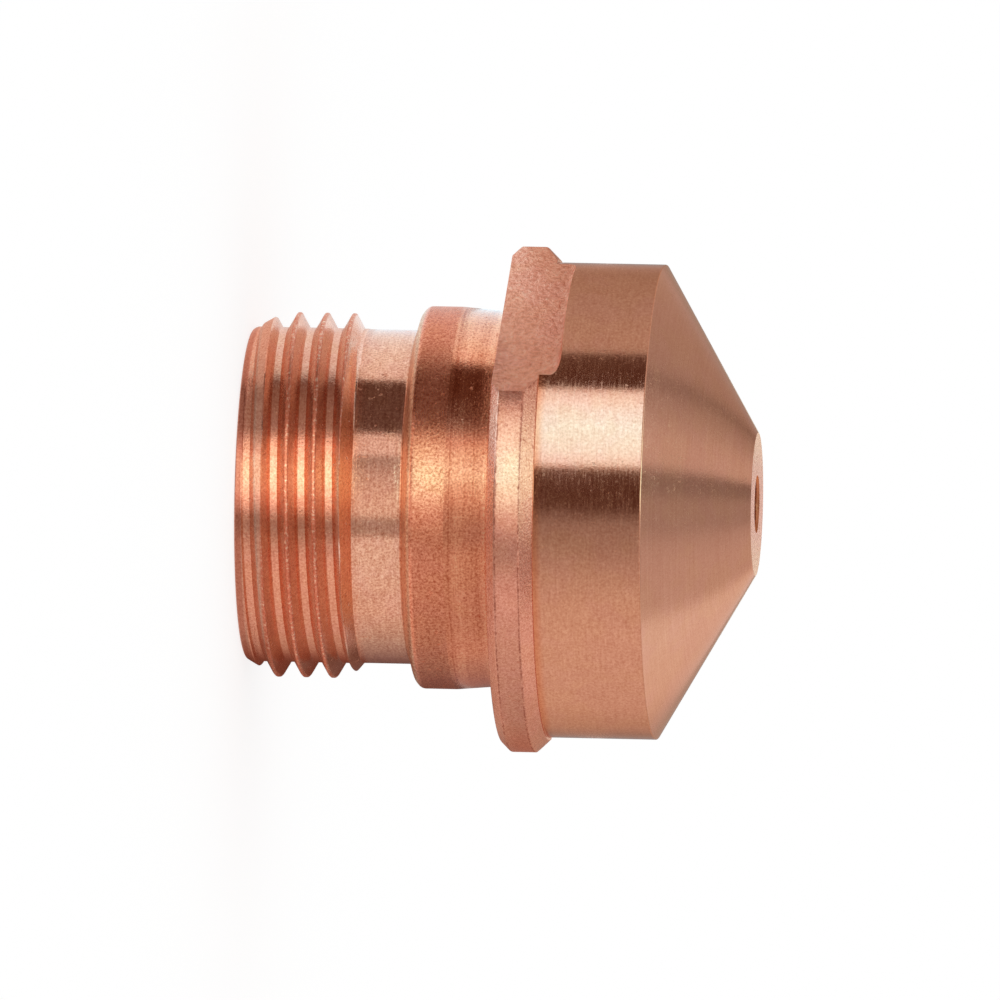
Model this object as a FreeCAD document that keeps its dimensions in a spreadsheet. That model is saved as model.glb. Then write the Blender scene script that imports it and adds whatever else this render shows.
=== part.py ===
import FreeCAD, Part
import math
import os
import Sketcher

# Plasma torch nozzle, turned from one piece of copper bar.
# The axis is Z. The rear rim, at the threaded end, lies in z = 0, and the nose points to +Z.
# The two wrench flats face -Y and +Y. Lengths are in millimetres, and angles in degrees.

doc = FreeCAD.newDocument("plasma_torch_nozzle")

# Driving sizes

SIZES = [
    # Rear thread, metric M20 x 1.5, right hand
    ("thread_major_diameter", 19.9),
    ("thread_root_diameter", 18.25),
    ("thread_pitch", 1.5),
    ("thread_root_flat", 0.41),
    ("thread_flank_angle", 60),
    ("thread_length", 6.4),
    ("thread_clocking", 0.79),
    ("lead_in_diameter", 17.95),
    ("lead_in_angle", 30),
    ("rim_radius", 0.3),
    # Relief between the thread and the collar
    ("relief_diameter", 18.2),
    ("relief_width", 2.71),
    ("relief_flank_angle", 40),
    # Centring collar with a sloping rear wall and a broken edge, and the tapered neck ahead of it
    ("collar_diameter", 20.85),
    ("collar_length", 2.44),
    ("collar_wall_angle", 16),
    ("collar_edge_break", 0.32),
    ("collar_edge_angle", 39),
    ("neck_length", 2.6),
    ("neck_end_diameter", 20.4),
    # Flange
    ("flange_diameter", 27.55),
    ("flange_rear_chamfer", 0.48),
    ("flange_land", 1.35),
    ("flange_front_chamfer", 0.67),
    # Body and nose
    ("body_diameter", 25.9),
    ("body_length", 5.85),
    ("nose_half_angle", 60),
    ("tip_diameter", 7.8),
    ("edge_break", 0.08),
    # Wrench flats, milled across the flange and a little way into the body
    ("flats_across", 23.3),
    ("flat_reach", 1.15),
    ("flat_cutter_radius", 0.55),
    # Inside, from the rear: seat of the insulator, electrode chamber, funnel and orifice
    ("seat_diameter", 15),
    ("seat_depth", 3),
    ("mouth_chamfer", 0.4),
    ("chamber_diameter", 13),
    ("funnel_half_angle", 30),
    ("orifice_diameter", 2.9),
    ("orifice_length", 3.85),
    ("orifice_edge_break", 0.12),
    # How far a cut runs past the metal it removes
    ("overrun", 0.5),
]

sheet = doc.addObject("Spreadsheet::Sheet", "sizes")
for row, (name, value) in enumerate(SIZES, start=1):
    sheet.set(f"A{row}", name)
    sheet.set(f"B{row}", str(value))
    sheet.setAlias(f"B{row}", name)
doc.recompute()


def value_of(expression):
    """The number that an expression over the sheet stands for."""
    return float(sheet.evalExpression(expression))


# Stations along the axis, each worked out from the one before it

S = "sizes."
COLLAR = f"({S}thread_length + {S}relief_width)"
NECK = f"({COLLAR} + {S}collar_length)"
FLANGE = f"({NECK} + {S}neck_length)"
LAND = f"({FLANGE} + {S}flange_rear_chamfer)"
LAND_END = f"({LAND} + {S}flange_land)"
BODY = f"({LAND_END} + {S}flange_front_chamfer)"
SHOULDER = f"({BODY} + {S}body_length)"
NOSE_DROP = f"(({S}body_diameter - {S}tip_diameter) / 2)"
TIP = f"({SHOULDER} + {NOSE_DROP} / tan({S}nose_half_angle * 1 deg))"
THROAT = f"({TIP} - {S}orifice_length)"
FUNNEL_DROP = f"(({S}chamber_diameter - {S}orifice_diameter) / 2)"
FUNNEL = f"({THROAT} - {FUNNEL_DROP} / tan({S}funnel_half_angle * 1 deg))"

nozzle = doc.addObject("PartDesign::Body", "nozzle")
nozzle.Label = "nozzle"


def origin_plane(role):
    """One of the body's own base planes or axes."""
    return next(f for f in nozzle.Origin.OriginFeatures if f.Role == role)


def new_sketch(name, role):
    sketch = nozzle.newObject("Sketcher::SketchObject", name)
    sketch.AttachmentSupport = [(origin_plane(role), "")]
    sketch.MapMode = "FlatFace"
    return sketch


def hold(sketch, kind, name, expression, *where):
    """Adds a dimension to a sketch and ties it to the sheet."""
    place = sketch.addConstraint(Sketcher.Constraint(kind, *where, value_of(expression)))
    sketch.renameConstraint(place, name)
    sketch.setExpression(f"Constraints.{name}", expression)


ORIGIN = (-1, 1)


def draw_outline(sketch, corners):
    """A closed outline of straight lines. A corner is its name, its distance out and its height.

    A distance of "0" puts the corner on the upright axis (-2), and a height of "0" on the level one (-1).
    """
    at = [FreeCAD.Vector(value_of(out), value_of(up), 0) for _, out, up in corners]
    last = len(corners) - 1
    for i in range(len(corners)):
        sketch.addGeometry(Part.LineSegment(at[i], at[(i + 1) % len(at)]), False)
    for i in range(len(corners)):
        sketch.addConstraint(Sketcher.Constraint("Coincident", i, 2, i + 1 if i < last else 0, 1))
    for i, (name, out, up) in enumerate(corners):
        if out == "0":
            sketch.addConstraint(Sketcher.Constraint("PointOnObject", i, 1, -2))
        else:
            hold(sketch, "DistanceX", name + "_out", out, *ORIGIN, i, 1)
        if up == "0":
            sketch.addConstraint(Sketcher.Constraint("PointOnObject", i, 1, -1))
        else:
            hold(sketch, "DistanceY", name + "_up", up, *ORIGIN, i, 1)


def turn_about_axis(kind, name, sketch):
    """A full turn of a sketch about the nozzle's axis, adding or removing metal."""
    feature = nozzle.newObject(kind, name)
    feature.Profile = sketch
    feature.ReferenceAxis = (origin_plane("Z_Axis"), [""])
    feature.Angle = 360
    sketch.Visibility = False
    nozzle.Tip = feature
    doc.recompute()
    return feature


SAME_PLACE = 1e-4


def is_circle_at(edge, out, up):
    """Whether an edge is the circle about the axis with this radius and height."""
    curve = edge.Curve
    if not isinstance(curve, Part.Circle):
        return False
    right_size = abs(curve.Radius - value_of(out)) < SAME_PLACE
    return right_size and abs(curve.Center.z - value_of(up)) < SAME_PLACE


# The blank, turned on its outside from the rear rim to the tip

THREAD_OUT = f"{S}thread_major_diameter / 2"
RELIEF_OUT = f"{S}relief_diameter / 2"
LEAD_IN_END = f"({S}thread_major_diameter - {S}lead_in_diameter) / 2 / tan({S}lead_in_angle * 1 deg)"
RELIEF_RISE = f"({S}thread_major_diameter - {S}relief_diameter) / 2 * tan({S}relief_flank_angle * 1 deg)"
COLLAR_OUT = f"{S}collar_diameter / 2"
COLLAR_EDGE_OUT = f"({COLLAR_OUT} - {S}collar_edge_break)"
COLLAR_EDGE = f"({COLLAR} + ({COLLAR_EDGE_OUT} - {RELIEF_OUT}) * tan({S}collar_wall_angle * 1 deg))"
EDGE_RISE = f"{S}collar_edge_break * tan({S}collar_edge_angle * 1 deg)"
FLANGE_OUT = f"{S}flange_diameter / 2"
BODY_OUT = f"{S}body_diameter / 2"
TIP_OUT = f"{S}tip_diameter / 2"

blank_outline = new_sketch("blank_outline", "XZ_Plane")
draw_outline(blank_outline, [
    ("rear_centre", "0", "0"),
    ("rim", f"{S}lead_in_diameter / 2", "0"),
    ("thread_front", THREAD_OUT, LEAD_IN_END),
    ("thread_back", THREAD_OUT, f"{S}thread_length - {RELIEF_RISE}"),
    ("relief", RELIEF_OUT, f"{S}thread_length"),
    ("relief_end", RELIEF_OUT, COLLAR),
    ("collar_edge", COLLAR_EDGE_OUT, COLLAR_EDGE),
    ("collar", COLLAR_OUT, f"{COLLAR_EDGE} + {EDGE_RISE}"),
    ("collar_end", COLLAR_OUT, NECK),
    ("neck_end", f"{S}neck_end_diameter / 2", FLANGE),
    ("flange_back", f"{FLANGE_OUT} - {S}flange_rear_chamfer", FLANGE),
    ("land", FLANGE_OUT, LAND),
    ("land_end", FLANGE_OUT, LAND_END),
    ("flange_front", f"{FLANGE_OUT} - {S}flange_front_chamfer", BODY),
    ("body", BODY_OUT, BODY),
    ("shoulder", BODY_OUT, f"{SHOULDER} - {S}edge_break"),
    ("shoulder_end", f"{BODY_OUT} - {S}edge_break * tan({S}nose_half_angle * 1 deg)",
     f"{SHOULDER} + {S}edge_break"),
    ("tip", TIP_OUT, TIP),
    ("front_centre", "0", TIP),
])
blank = turn_about_axis("PartDesign::Revolution", "turned_blank", blank_outline)

rim_edges = [
    f"Edge{index}"
    for index, edge in enumerate(blank.Shape.Edges, start=1)
    if is_circle_at(edge, f"{S}lead_in_diameter / 2", "0")
]
rim = nozzle.newObject("PartDesign::Fillet", "rounded_rim")
rim.Base = (blank, rim_edges)
rim.setExpression("Radius", f"{S}rim_radius")
nozzle.Tip = rim
doc.recompute()

# The inside, bored from the rear, and the orifice drilled through the nose

MOUTH = f"({S}seat_diameter / 2 + {S}mouth_chamfer + {S}overrun)"
ORIFICE_MOUTH = f"({S}orifice_diameter / 2 + {S}orifice_edge_break + {S}overrun)"

bore_outline = new_sketch("bore_outline", "XZ_Plane")
draw_outline(bore_outline, [
    ("behind", "0", f"-{S}overrun"),
    ("mouth", MOUTH, f"-{S}overrun"),
    ("seat", f"{S}seat_diameter / 2", f"{S}mouth_chamfer"),
    ("seat_end", f"{S}seat_diameter / 2", f"{S}seat_depth"),
    ("chamber", f"{S}chamber_diameter / 2", f"{S}seat_depth"),
    ("funnel", f"{S}chamber_diameter / 2", FUNNEL),
    ("throat", f"{S}orifice_diameter / 2", THROAT),
    ("throat_end", f"{S}orifice_diameter / 2", f"{TIP} - {S}orifice_edge_break"),
    ("orifice_mouth", ORIFICE_MOUTH, f"{TIP} + {S}overrun"),
    ("ahead", "0", f"{TIP} + {S}overrun"),
])
turn_about_axis("PartDesign::Groove", "bore_and_orifice", bore_outline)

# The thread, cut along a right-hand helix that runs out in the relief.
# The cutter starts behind the rim, and its outer edge clears the crest by less than a pitch allows.

THREAD_DEPTH = f"(({S}thread_major_diameter - {S}thread_root_diameter) / 2)"
CREST_CLEARANCE = 0.03
CUTTER_DEPTH = f"({THREAD_DEPTH} + {CREST_CLEARANCE})"
ROOT_OUT = f"{S}thread_root_diameter / 2"
CUTTER_OUT = f"({ROOT_OUT} + {CUTTER_DEPTH})"
ROOT_HALF = f"{S}thread_root_flat / 2"
CUTTER_HALF = f"({ROOT_HALF} + {CUTTER_DEPTH} * tan({S}thread_flank_angle * 0.5 deg))"
CUTTER_START = f"({S}thread_clocking - {S}thread_pitch)"

thread_form = new_sketch("thread_form", "XZ_Plane")
draw_outline(thread_form, [
    ("root_low", ROOT_OUT, f"{CUTTER_START} - {ROOT_HALF}"),
    ("crest_low", CUTTER_OUT, f"{CUTTER_START} - {CUTTER_HALF}"),
    ("crest_high", CUTTER_OUT, f"{CUTTER_START} + {CUTTER_HALF}"),
    ("root_high", ROOT_OUT, f"{CUTTER_START} + {ROOT_HALF}"),
])
thread = nozzle.newObject("PartDesign::SubtractiveHelix", "thread")
thread.Profile = thread_form
thread.ReferenceAxis = (origin_plane("Z_Axis"), [""])
thread.Mode = "pitch-height-angle"
thread.setExpression("Pitch", f"{S}thread_pitch")
thread.setExpression("Height", f"{S}thread_length + {S}thread_pitch - {S}thread_clocking + {ROOT_HALF}")
thread.LeftHanded = False
thread.Reversed = False
thread_form.Visibility = False
nozzle.Tip = thread
doc.recompute()

# The wrench flats: one milled across the front side, and its twin on the opposite side

FLAT_OUT = f"{S}flats_across / 2"
FLAT_START = f"({FLANGE} - {S}overrun)"
FLAT_END = f"({BODY} + {S}flat_reach)"
CUTTER_RADIUS = f"{S}flat_cutter_radius"
CLEAR_OUT = f"({FLANGE_OUT} + {S}overrun)"

flat_outline = new_sketch("flat_outline", "YZ_Plane")
low_in = FreeCAD.Vector(-value_of(FLAT_OUT), value_of(FLAT_START), 0)
high_in = FreeCAD.Vector(-value_of(FLAT_OUT), value_of(f"{FLAT_END} - {CUTTER_RADIUS}"), 0)
corner_centre = FreeCAD.Vector(-value_of(f"{FLAT_OUT} + {CUTTER_RADIUS}"), high_in.y, 0)
wall_in = FreeCAD.Vector(corner_centre.x, value_of(FLAT_END), 0)
wall_out = FreeCAD.Vector(-value_of(CLEAR_OUT), wall_in.y, 0)
low_out = FreeCAD.Vector(wall_out.x, low_in.y, 0)
FLOOR, CORNER, WALL, OUTSIDE, REAR = range(5)
flat_outline.addGeometry(Part.LineSegment(low_in, high_in), False)
corner_circle = Part.Circle(corner_centre, FreeCAD.Vector(0, 0, 1), value_of(CUTTER_RADIUS))
flat_outline.addGeometry(Part.ArcOfCircle(corner_circle, 0, math.pi / 2), False)
flat_outline.addGeometry(Part.LineSegment(wall_in, wall_out), False)
flat_outline.addGeometry(Part.LineSegment(wall_out, low_out), False)
flat_outline.addGeometry(Part.LineSegment(low_out, low_in), False)
flat_outline.addConstraint([
    Sketcher.Constraint("Vertical", FLOOR),
    Sketcher.Constraint("Tangent", FLOOR, 2, CORNER, 1),
    Sketcher.Constraint("Tangent", CORNER, 2, WALL, 1),
    Sketcher.Constraint("Horizontal", WALL),
    Sketcher.Constraint("Coincident", WALL, 2, OUTSIDE, 1),
    Sketcher.Constraint("Vertical", OUTSIDE),
    Sketcher.Constraint("Coincident", OUTSIDE, 2, REAR, 1),
    Sketcher.Constraint("Horizontal", REAR),
    Sketcher.Constraint("Coincident", REAR, 2, FLOOR, 1),
])
hold(flat_outline, "Radius", "cutter", CUTTER_RADIUS, CORNER)
hold(flat_outline, "DistanceX", "floor_out", FLAT_OUT, FLOOR, 1, *ORIGIN)
hold(flat_outline, "DistanceX", "clear_out", CLEAR_OUT, OUTSIDE, 1, *ORIGIN)
hold(flat_outline, "DistanceY", "floor_start", FLAT_START, *ORIGIN, FLOOR, 1)
hold(flat_outline, "DistanceY", "wall_up", FLAT_END, *ORIGIN, WALL, 1)

front_flat = nozzle.newObject("PartDesign::Pocket", "front_flat")
front_flat.Profile = flat_outline
front_flat.Type = "ThroughAll"
front_flat.SideType = "Symmetric"
flat_outline.Visibility = False
nozzle.Tip = front_flat
doc.recompute()

both_flats = nozzle.newObject("PartDesign::Mirrored", "both_flats")
both_flats.Originals = [front_flat]
both_flats.MirrorPlane = (origin_plane("XZ_Plane"), [""])
nozzle.Tip = both_flats
doc.recompute()

# Every cut has to have removed metal, and the result has to be one sound solid

LEAST_CUT = 1e-3

for feature in doc.Objects:
    if "Invalid" in feature.State or "Error" in feature.State:
        raise RuntimeError(f"{feature.Label} failed: {feature.State}")

stages = [f for f in nozzle.Group if f.isDerivedFrom("PartDesign::Feature")]
for before, after in zip(stages, stages[1:]):
    removed = before.Shape.Volume - after.Shape.Volume
    print(f"{after.Label}: {removed:.3f} mm3 removed")
    if removed < LEAST_CUT:
        raise RuntimeError(f"{after.Label} cut nothing")

shape = nozzle.Shape
if shape.isNull() or not shape.isValid() or len(shape.Solids) != 1:
    raise RuntimeError("the nozzle isn't one valid solid")

os.makedirs("parts", exist_ok=True)
shape.exportStep(f"parts/{nozzle.Label}.step")
box = shape.BoundBox
print(f"nozzle: {shape.Volume:.2f} mm3, {box.XLength:.3f} x {box.YLength:.3f} x {box.ZLength:.3f} mm")
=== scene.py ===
import bmesh
import bpy
import math
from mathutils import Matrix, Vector


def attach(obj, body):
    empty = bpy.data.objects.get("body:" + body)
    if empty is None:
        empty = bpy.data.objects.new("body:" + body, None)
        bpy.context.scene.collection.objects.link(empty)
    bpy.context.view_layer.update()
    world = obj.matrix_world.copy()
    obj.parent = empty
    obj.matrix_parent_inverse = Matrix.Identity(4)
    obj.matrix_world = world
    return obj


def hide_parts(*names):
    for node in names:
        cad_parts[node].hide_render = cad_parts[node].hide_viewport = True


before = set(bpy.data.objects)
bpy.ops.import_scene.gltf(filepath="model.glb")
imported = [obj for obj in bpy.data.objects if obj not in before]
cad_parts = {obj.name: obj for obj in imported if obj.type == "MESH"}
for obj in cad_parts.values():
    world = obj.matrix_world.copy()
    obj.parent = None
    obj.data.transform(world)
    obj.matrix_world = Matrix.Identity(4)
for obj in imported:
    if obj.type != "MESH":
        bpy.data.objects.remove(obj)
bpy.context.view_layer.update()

# The nozzle. It is turned from one bar of copper: a metric thread and its relief, a centring collar, a
# tapered neck, a flange with two wrench flats milled across it, the body, and a 60 degree nose with the
# orifice. Its outline is drawn here in millimetres, and a tree turns it about the axis and cuts the thread.

MM = 0.001
PITCH = 1.5
CREST = 9.95
ROOT = 9.125
ROOT_FLAT = 0.41
ROOT_HEIGHT = 0.79
FLANK_SLOPE = 1 / math.tan(math.radians(30))
EDGE_SOFTNESS = 0.05
LEAD_IN = 8.975
LEAD_IN_SLOPE = math.tan(math.radians(30))
THREAD_LOW = 0.2
THREAD_END = 6.4
THREAD_TURNS = range(-2, 5)
RELIEF = 9.1
RELIEF_SLOPE = math.tan(math.radians(50))
COLLAR = 10.425
FLANGE = 13.775
FLANGE_START = 14.15
LAND_START = 14.63
LAND_END = 15.98
FLANGE_END = 16.65
BODY = 12.945
TIP = 27.725
ORIFICE = 1.45
CHAMBER = 6.5
SEAT = 7.5
SEAT_END = 3.0

BORED, THREADED, RELIEVED, COLLARED, NECKED, FLANGED, TURNED, FACED, TIPPED, MILLED = range(10)

# Corners before the thread, from the chamfered mouth to the rounded rim: each one's radius, height and
# rounding, and the finish of what follows it
REAR_CORNERS = [
    (7.9, 0.0, 0.05, THREADED),
    (LEAD_IN, 0.0, 0.3, THREADED),
]
# Corners after the thread, up the outside to the tip, and back down the inside
OUTER_CORNERS = [
    (RELIEF, 9.11, 0.15, COLLARED),
    (10.105, 9.398, 0.5, COLLARED),
    (COLLAR, 9.657, 0.4, COLLARED),
    (COLLAR, 11.55, 0.1, NECKED),
    (10.2, FLANGE_START, 0.15, FLANGED),
    (13.295, FLANGE_START, 0.08, FLANGED),
    (FLANGE, LAND_START, 0.18, FLANGED),
    (FLANGE, LAND_END, 0.18, FLANGED),
    (13.105, FLANGE_END, 0.05, FLANGED),
    (BODY, FLANGE_END, 0.03, TURNED),
    (BODY, 22.5, 0.07, FACED),
    (3.9, TIP, 0.06, TIPPED),
    (1.57, TIP, 0.04, BORED),
    (ORIFICE, 27.605, 0.05, BORED),
    (ORIFICE, 23.875, 0.1, BORED),
    (CHAMBER, 15.127, 0.3, BORED),
    (CHAMBER, SEAT_END, 0.05, BORED),
    (SEAT, SEAT_END, 0.12, BORED),
    (SEAT, 0.4, 0.05, BORED),
]
# How far past an arc's ends its holding points are, the longest run with no point, and an arc's largest step
HOLD = 0.03
LONGEST_RUN = 1.2
ARC_STEP = math.radians(14)


def rounded_corner(before, corner, after, radius):
    """The points of a rounded corner, with one point on each side that holds the straight runs straight."""
    back = (before - corner).normalized()
    ahead = (after - corner).normalized()
    turn = math.pi - back.angle(ahead)
    reach = radius * math.tan(turn / 2)
    start, end = corner + back * reach, corner + ahead * reach
    centre = corner + (back + ahead).normalized() * (radius / math.cos(turn / 2))
    steps = max(2, math.ceil(turn / ARC_STEP))
    points = [start + back * HOLD]
    for step in range(steps + 1):
        share = turn * step / steps
        arm = start - centre
        sense = 1 if arm.x * (end - centre).y - arm.y * (end - centre).x > 0 else -1
        cosine, sine = math.cos(share * sense), math.sin(share * sense)
        points.append(centre + Vector((arm.x * cosine - arm.y * sine, arm.x * sine + arm.y * cosine)))
    points.append(end + ahead * HOLD)
    return points


# Rows of one turn of the thread, from a root's middle, closer where its flanks bend
thread_offsets = [0.0, 0.1, 0.185, 0.225, 0.29, 0.36, 0.43, 0.5, 0.57, 0.635, 0.66, 0.695, 0.75]
thread_offsets += [PITCH - offset for offset in reversed(thread_offsets[1:-1])]
thread_rows = sorted(
    ROOT_HEIGHT + PITCH * turn + offset
    for turn in THREAD_TURNS
    for offset in thread_offsets
)
lowest = max(z for z in thread_rows if z < THREAD_LOW - PITCH)
highest = min(z for z in thread_rows if z > THREAD_END)
thread_rows = [z for z in thread_rows if lowest <= z <= highest]

# The thread's own corner has no rounding. Its rows take its place, and the last one begins the relief.
corners = REAR_CORNERS + [(RELIEF, THREAD_END, 0, RELIEVED)] + OUTER_CORNERS
outline = []
for place, (radius, height, rounding, finish) in enumerate(corners):
    before = Vector(corners[place - 1][:2])
    here = Vector((radius, height))
    after = Vector(corners[(place + 1) % len(corners)][:2])
    if rounding == 0:
        outline += [(Vector((RELIEF, z)), THREADED, 1) for z in thread_rows]
        outline[-1] = (outline[-1][0], RELIEVED, 1)
        outline.append((Vector((RELIEF, THREAD_END + HOLD)), RELIEVED, 0))
    else:
        if radius == LEAD_IN:
            after = here + Vector((LEAD_IN_SLOPE, 1))
        arc = rounded_corner(before, here, after, rounding)
        earlier = corners[place - 1][3]
        if outline:
            gap = arc[0] - outline[-1][0]
            pieces = max(1, math.ceil(gap.length / LONGEST_RUN))
            first = outline[-1][0]
            outline += [(first + gap * share / pieces, earlier, 0) for share in range(1, pieces)]
        middle = len(arc) // 2
        outline += [(point, earlier if step < middle else finish, 0) for step, point in enumerate(arc)]

profile_mesh = bpy.data.meshes.new("nozzle_outline")
profile_mesh.from_pydata(
    [(point.x * MM, 0, point.y * MM) for point, _, _ in outline],
    [(row, (row + 1) % len(outline)) for row in range(len(outline))],
    [],
)
finish_of_row = profile_mesh.attributes.new("finish", "INT", "POINT")
finish_of_row.data.foreach_set("value", [finish for _, finish, _ in outline])
helical = profile_mesh.attributes.new("helical", "FLOAT", "POINT")
helical.data.foreach_set("value", [float(on_thread) for _, _, on_thread in outline])
nozzle_work = bpy.data.objects.new("nozzle_work", profile_mesh)
bpy.context.scene.collection.objects.link(nozzle_work)

# The cutter of the two wrench flats: a slab outside each flat, with the round corner that the milling
# cutter leaves at the end of its pass

FLAT = 11.65
FLAT_START = 13.65
FLAT_END = 17.8
CUTTER_RADIUS = 0.55
CUTTER_CLEAR = 15.0
CUTTER_HALF = 12.0
CUTTER_STEPS = 8
slab = [(FLAT, FLAT_START)]
for step in range(CUTTER_STEPS + 1):
    sweep = math.radians(90) * step / CUTTER_STEPS
    slab.append((
        FLAT + CUTTER_RADIUS * (1 - math.cos(sweep)),
        FLAT_END - CUTTER_RADIUS * (1 - math.sin(sweep)),
    ))
slab += [(CUTTER_CLEAR, FLAT_END), (CUTTER_CLEAR, FLAT_START)]
cutter = bmesh.new()
for side in (-1, 1):
    face = cutter.faces.new([cutter.verts.new((-CUTTER_HALF * MM, side * y * MM, z * MM)) for y, z in slab])
    swept = bmesh.ops.extrude_face_region(cutter, geom=[face])["geom"]
    ends = [v for v in swept if isinstance(v, bmesh.types.BMVert)]
    bmesh.ops.translate(cutter, verts=ends, vec=(2 * CUTTER_HALF * MM, 0, 0))
bmesh.ops.recalc_face_normals(cutter, faces=cutter.faces)
cutter_mesh = bpy.data.meshes.new("flat_cutter")
cutter.to_mesh(cutter_mesh)
cutter.free()
flat_cutter = bpy.data.objects.new("flat_cutter", cutter_mesh)
bpy.context.scene.collection.objects.link(flat_cutter)


def add_node(tree, kind, values=None, **settings):
    """A new node with its settings, and its sockets set to numbers or linked to other nodes' outputs."""
    made = tree.nodes.new(kind)
    for name, value in settings.items():
        setattr(made, name, value)
    for socket, value in (values or {}).items():
        if isinstance(value, bpy.types.NodeSocket):
            tree.links.new(value, made.inputs[socket])
        else:
            made.inputs[socket].default_value = value
    return made


def reckon(tree, operation, *terms):
    """One step of arithmetic."""
    return add_node(tree, "ShaderNodeMath", dict(enumerate(terms)), operation=operation).outputs[0]


# The finishes. The thread, neck and body are as the turning tool left them, the collar and flange are duller,
# and the flats are coarse from milling. Wear has darkened the crests. Broken dark lines along the flange are
# painted shadows of burred edges, the body's foot has painted shade, and faces towards the rear a painted
# paler reflection.

MICROMETRE = MM / 1000
GRAZING = (0.9, 0.7, 0.6, 1)
PALE_GRAZING = (1, 1, 1, 1)
NOISE_ROUGHNESS = 0.65
# Turning marks climb by this for each millimetre outwards, so that they show on faced ends too
CUT_LEAN = 0.6
# How much the red and the blue follow the shade: a dark spot keeps its red and loses more of its blue
RED_SWING = 0.6
BLUE_SWING = 1.15

# How close patches of each kind lie, how ragged they are, and between which values of their noise they show
SPECK_PATCHES = (5.2, 2.0, 0.57, 0.66)
PIT_PATCHES = (3.1, 1.0, 0.31, 0.26)
DRIFT_PATCHES = (0.45, 2.0, 0.4, 0.6)
NICK_PATCHES = (6.5, 3.0, 0.53, 0.62)
BURR_PATCHES = (2.6, 4.0, 0.4, 0.6)
CLOUD_SIZE, CLOUD_DETAIL = 0.8, 4.0
SCRATCH_TURN, SCRATCH_FINE = 14.0, 22.0
SCRATCH_SHOWS = (0.6, 0.68)

# What the copper's colour is multiplied by where it drifts or is worn, and where light and shade are painted
# on it (shadows of burred edges, shade and the reflected chamfer at the body's foot), and how much duller it
# is there
ROSY = (1, 0.99, 1.015)
SANDY = (1, 1.006, 0.98)
RIM_TONE = (0.72, 0.6, 0.6)
CREST_TONE, CREST_DULL = (0.82, 0.58, 0.52), 0.26
NICK_COLOUR = (0.98, 0.66, 0.5, 1)
BURR_SHADOW_TONE, BURR_DULL = (0.6, 0.46, 0.44), 0.2
FOOT_SHADE_TONE = (0.96, 0.74, 0.6)
CLOUD_DULL = 0.1
REAR_DULL = 0.12
PIT_DARK = 0.3
PIT_DEPTH = 14.0

# Where the wear and the painted light and shade are, from where each begins to where it is whole: the way
# that a face points along the axis, for the painted reflection on faces towards the rear, and heights, radii
# and distances in millimetres, for the rim, the painted shade at the body's foot and the painted burr shadows
REAR_FACING = (-0.3, -0.7)
RIM_HEIGHTS = (0.45, 0.35)
FOOT_HEIGHTS = (17.2, 16.7)
BURR_RADII = (13.6, 13.7)
BURR_WIDTHS = (0.07, 0.02)
BURR_INSIDE = 0.04
BURR_WAVE, WAVE_SIZE = 0.12, 3.0
FLAT_BURR = (FLAT - 0.14, FLAT - 0.05)


def between(tree, value, low, high):
    """Nought below one value, one above the other, and a soft step from one to the other."""
    return add_node(
        tree, "ShaderNodeMapRange", {"Value": value, 1: low, 2: high}, interpolation_type="SMOOTHSTEP"
    ).outputs[0]


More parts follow.
